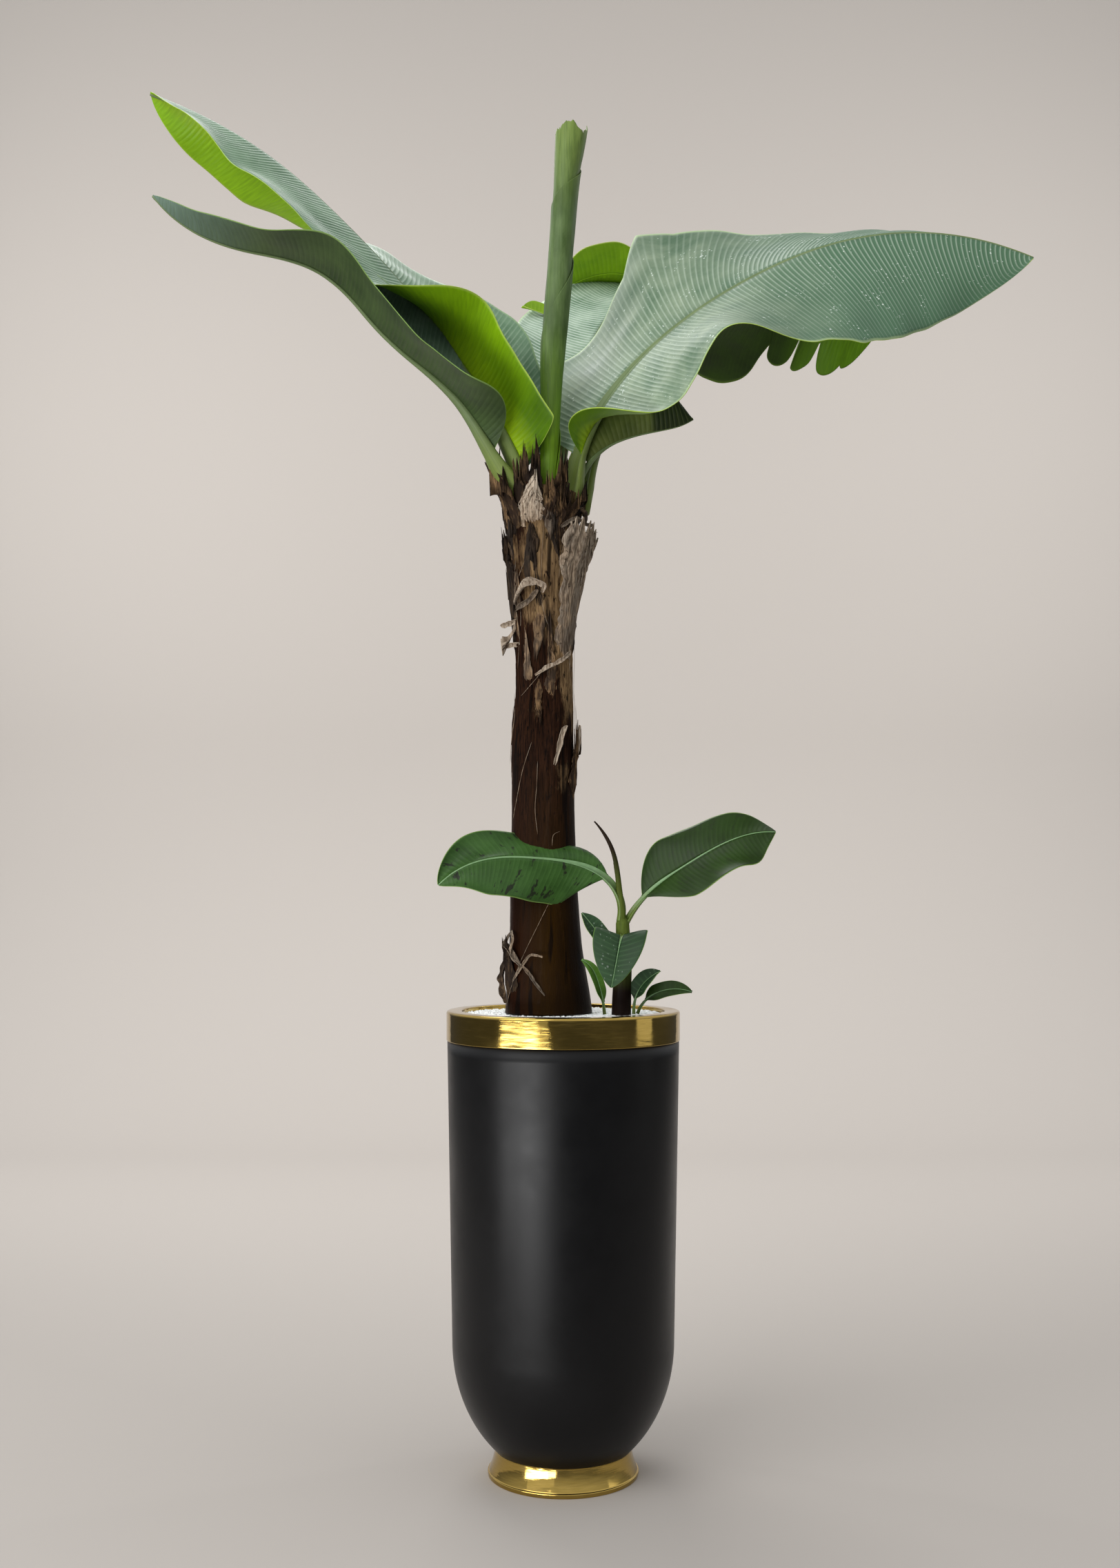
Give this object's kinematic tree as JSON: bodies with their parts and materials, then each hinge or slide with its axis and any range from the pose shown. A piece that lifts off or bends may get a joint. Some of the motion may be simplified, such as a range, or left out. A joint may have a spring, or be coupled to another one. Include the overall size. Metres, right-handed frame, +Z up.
{
  "type": "potted banana plant",
  "caption": "Tall potted banana plant: a dark false stem in dry sheaths with a crown of broad arching leaves and a young shoot, in a black metal pot with polished trim.",
  "frame": {"origin": "centre of the pot's flat underside, on the floor", "axes": "+Z up the stem, +X to the side of the widest leaf, +Y to the back of the plant"},
  "size_m": [1.3099, 0.7359, 2.0997],
  "materials": {
    "black_enamel": "satin",
    "brass_trim": "polished",
    "white_gravel": "matte",
    "stem_skin": "satin",
    "young_leaf": "satin",
    "leaf_blade": "satin",
    "old_leaf_blade": "satin",
    "dry_sheath": "matte",
    "shoot_blade": "satin"
  },
  "bodies": {
    "root": {"pot_foot": "brass_trim", "pot_body": "black_enamel", "pot_band": "brass_trim", "gravel_fill": "white_gravel", "false_stem": "stem_skin", "rolled_leaf": "young_leaf", "leaf_right": "leaf_blade", "leaf_upper_left": "leaf_blade", "leaf_lower_left": "old_leaf_blade", "leaf_back": "leaf_blade", "leaf_back_right": "old_leaf_blade", "leaf_short_right": "old_leaf_blade", "sheath_right_stub": "dry_sheath", "sheath_left_flap": "dry_sheath", "sheath_front_pale": "dry_sheath", "sheath_front_brown": "dry_sheath", "sheath_left_shred": "dry_sheath", "sheath_right_shard": "dry_sheath", "sheath_base_curl": "dry_sheath", "sheath_back_left": "dry_sheath", "sheath_back_right": "dry_sheath", "shoot_stem": "stem_skin", "shoot_leaf_left": "shoot_blade", "shoot_leaf_right": "shoot_blade", "shoot_leaf_front": "shoot_blade", "shoot_leaf_behind": "shoot_blade", "shoot_leaf_narrow": "shoot_blade", "shoot_leaf_low": "shoot_blade", "shoot_leaf_tip": "shoot_blade", "shoot_spear": "shoot_blade"}
  },
  "joints": []
}
